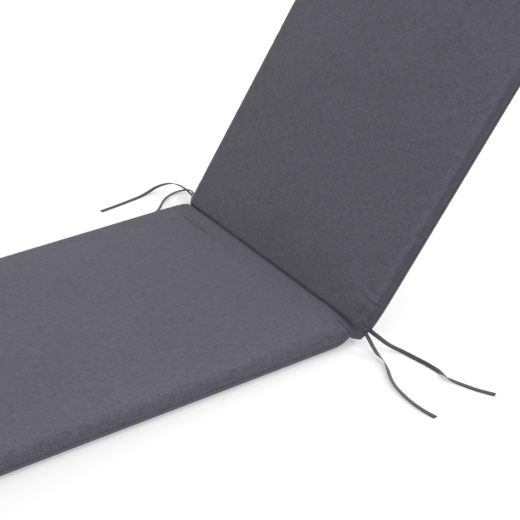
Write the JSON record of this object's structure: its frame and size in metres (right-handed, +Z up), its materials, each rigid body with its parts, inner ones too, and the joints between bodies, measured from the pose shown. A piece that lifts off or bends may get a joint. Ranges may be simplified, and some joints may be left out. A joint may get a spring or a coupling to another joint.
{
  "type": "sun lounger cushion",
  "caption": "One-piece padded sun lounger cushion, flat seat section and back section raised at a sewn fold, with flat ties at both ends of the fold.",
  "frame": {"origin": "middle of the seat section's flat underside, on the surface it rests on", "axes": "+Y along the pad from its foot end towards the raised back, +X across the pad, +Z up"},
  "size_m": [0.9351, 1.612, 0.5994],
  "materials": {
    "pad_fabric": "matt woven polyester, anthracite grey with a violet cast",
    "tie_webbing": "matt dark grey flat tape"
  },
  "bodies": {
    "root": {"pad": "pad_fabric", "tie_near_rear": "tie_webbing", "tie_near_front": "tie_webbing", "tie_far_rear": "tie_webbing", "tie_far_front": "tie_webbing"}
  },
  "joints": []
}
